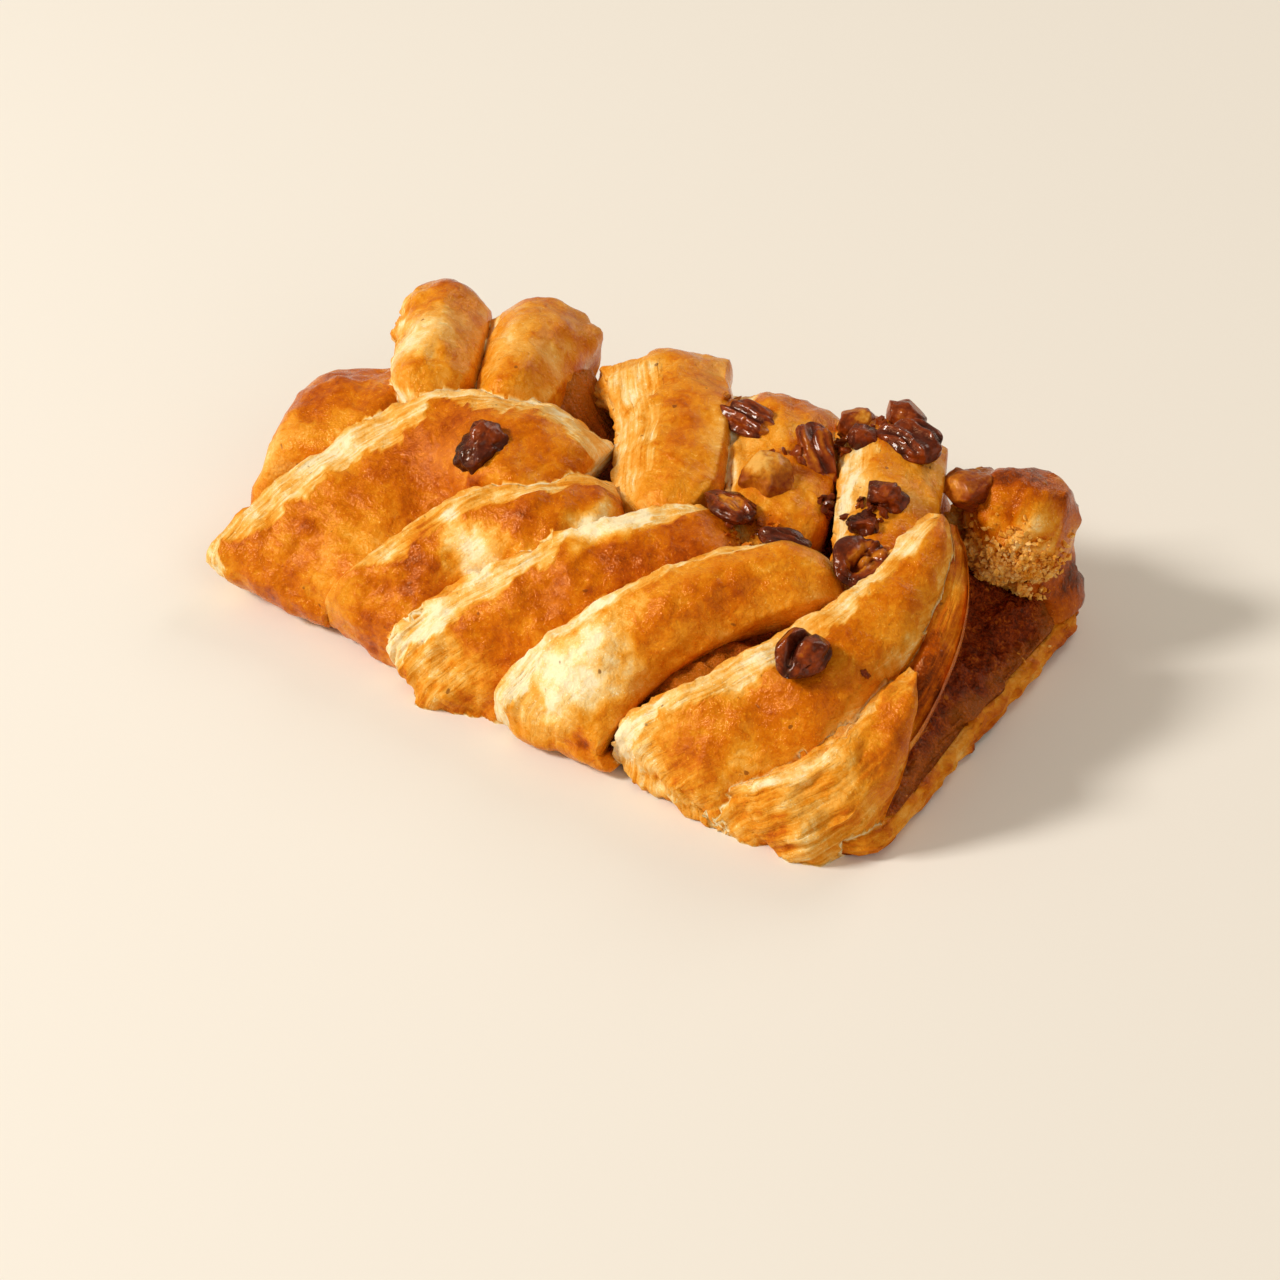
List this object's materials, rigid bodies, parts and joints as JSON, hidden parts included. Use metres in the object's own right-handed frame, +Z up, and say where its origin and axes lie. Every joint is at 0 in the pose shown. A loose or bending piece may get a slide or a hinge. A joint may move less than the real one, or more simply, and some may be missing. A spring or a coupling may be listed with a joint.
{
  "type": "pecan plait pastry",
  "caption": "Baked puff pastry plait: crossed strips folded over a caramel filling that shows at the open end, with roasted pecan pieces on top.",
  "frame": {"origin": "middle of the overall box, on the plane that the plait rests on", "axes": "+X along the length towards the open end, +Y across, +Z up"},
  "size_m": [0.1512, 0.0944, 0.041],
  "materials": {
    "pastry": "baked puff pastry, egg-glazed and browned on top, pale at the cut edges",
    "filling": "sticky caramel filling, glossy",
    "pecan": "roasted pecan, syrup-glazed"
  },
  "bodies": {
    "root": {"pastry": "pastry", "filling": "filling", "pecan_half_1": "pecan", "pecan_half_2": "pecan", "pecan_half_3": "pecan", "pecan_half_4": "pecan", "pecan_half_5": "pecan", "pecan_half_6": "pecan", "pecan_half_7": "pecan", "pecan_chunk_1": "pecan", "pecan_chunk_2": "pecan", "pecan_chunk_3": "pecan", "pecan_chunk_4": "pecan", "pecan_chunk_5": "pecan", "pecan_chunk_6": "pecan", "pecan_chunk_7": "pecan", "pecan_chunk_8": "pecan", "pecan_chunk_9": "pecan"}
  },
  "joints": []
}
